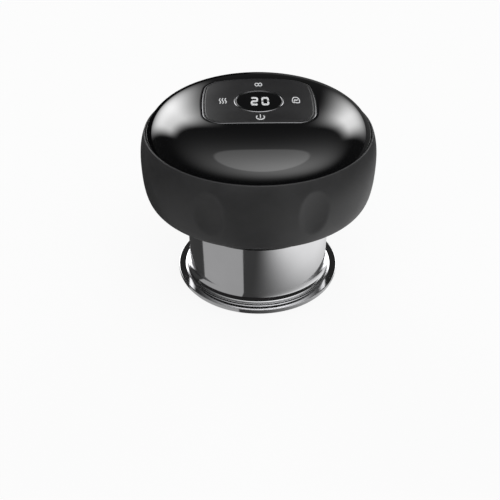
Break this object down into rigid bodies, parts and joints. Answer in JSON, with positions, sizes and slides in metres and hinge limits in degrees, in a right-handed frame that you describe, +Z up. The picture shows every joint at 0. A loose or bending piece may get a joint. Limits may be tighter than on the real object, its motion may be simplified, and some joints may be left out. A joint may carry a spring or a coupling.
{
  "type": "electric cupping massager",
  "caption": "Handheld electric cupping massager: black domed body with a round touch display over a metallised suction cup with a flat rim; heat plate, pump and battery inside.",
  "frame": {"origin": "centre of the cup's rim, on the surface that the rim stands on", "axes": "+Z up through the middle of the display, -Y towards the user who reads the digits, +Y towards the charging port, +X to the reader's right"},
  "size_m": [0.1, 0.1, 0.0846],
  "materials": {
    "gloss_black": "polished",
    "collar_black": "polished",
    "panel_satin": "satin",
    "bezel_black": "polished",
    "body_matte": "fine matte grain",
    "cup_metallised": "metallised, polished",
    "silicone": "matte",
    "soft_black": "matte",
    "heat_metal": "brushed",
    "window_clear": "polished",
    "led_cream": "satin",
    "board_green": "solder mask",
    "chip_black": "matte",
    "plastic_white": "matte",
    "filter_white": "felt",
    "display_grey": "satin",
    "frame_grey": "matte",
    "cell_wrap": "shrink wrap",
    "screw_steel": "zinc plated",
    "sheet_steel": "zinc plated",
    "spring_steel": "bright",
    "rotor_steel": "ground",
    "magnet_grey": "sintered",
    "brass": "turned",
    "copper_winding": "wound"
  },
  "bodies": {
    "massager": {"top_cover": "gloss_black", "display_lens": "gloss_black", "cup_socket": "collar_black", "touch_panel": "panel_satin", "display_bezel": "bezel_black", "lower_housing": "body_matte", "cup_seal": "silicone", "nozzle_tube": "silicone", "pump_tube": "silicone", "valve_tube": "silicone", "pump_diaphragm": "silicone", "battery_pad": "soft_black", "motor_sleeve": "soft_black", "usb_gasket": "soft_black", "heat_plate": "heat_metal", "light_window": "window_clear", "light_leds": "led_cream", "light_board": "board_green", "main_board": "board_green", "usb_board": "board_green", "control_chip": "chip_black", "suction_nozzle": "plastic_white", "tee_joint": "plastic_white", "valve_nozzle": "plastic_white", "battery_plug": "plastic_white", "pump_head": "plastic_white", "pump_cover": "plastic_white", "wobble_plate": "plastic_white", "motor_end_cap": "plastic_white", "air_filter": "filter_white", "display_module": "display_grey", "inner_frame": "frame_grey", "battery_cell": "cell_wrap", "socket_screws": "screw_steel", "housing_screws": "screw_steel", "board_screws": "screw_steel", "frame_screws": "screw_steel", "clamp_screws": "screw_steel", "pump_screws": "screw_steel", "usb_screws": "screw_steel", "battery_clamps": "sheet_steel", "pump_clamp": "sheet_steel", "motor_can": "sheet_steel", "valve_yoke": "sheet_steel", "usb_port": "sheet_steel", "touch_springs": "spring_steel", "valve_spring": "spring_steel", "motor_magnets": "magnet_grey", "motor_bushes": "brass", "valve_coil": "copper_winding"},
    "cup": {"cup": "cup_metallised"},
    "rotor": {"motor_rotor": "rotor_steel"},
    "plunger": {"valve_plunger": "rotor_steel"}
  },
  "joints": [
    {"name": "cup_slide", "type": "slide", "parent": "massager", "child": "cup", "axis": [0, 0, -1], "range_m": [0, 0.01]},
    {"name": "rotor_spin", "type": "hinge", "parent": "massager", "child": "rotor", "pos_m": [-0.0145, 0.017, 0.06015], "axis": [1, 0, 0], "continuous": true},
    {"name": "plunger_slide", "type": "slide", "parent": "massager", "child": "plunger", "axis": [0, 0, 1], "range_m": [0, 0.00075], "stiffness_N_per_m": 150, "springref_m": -0.002, "deforming": ["valve_spring"]}
  ]
}
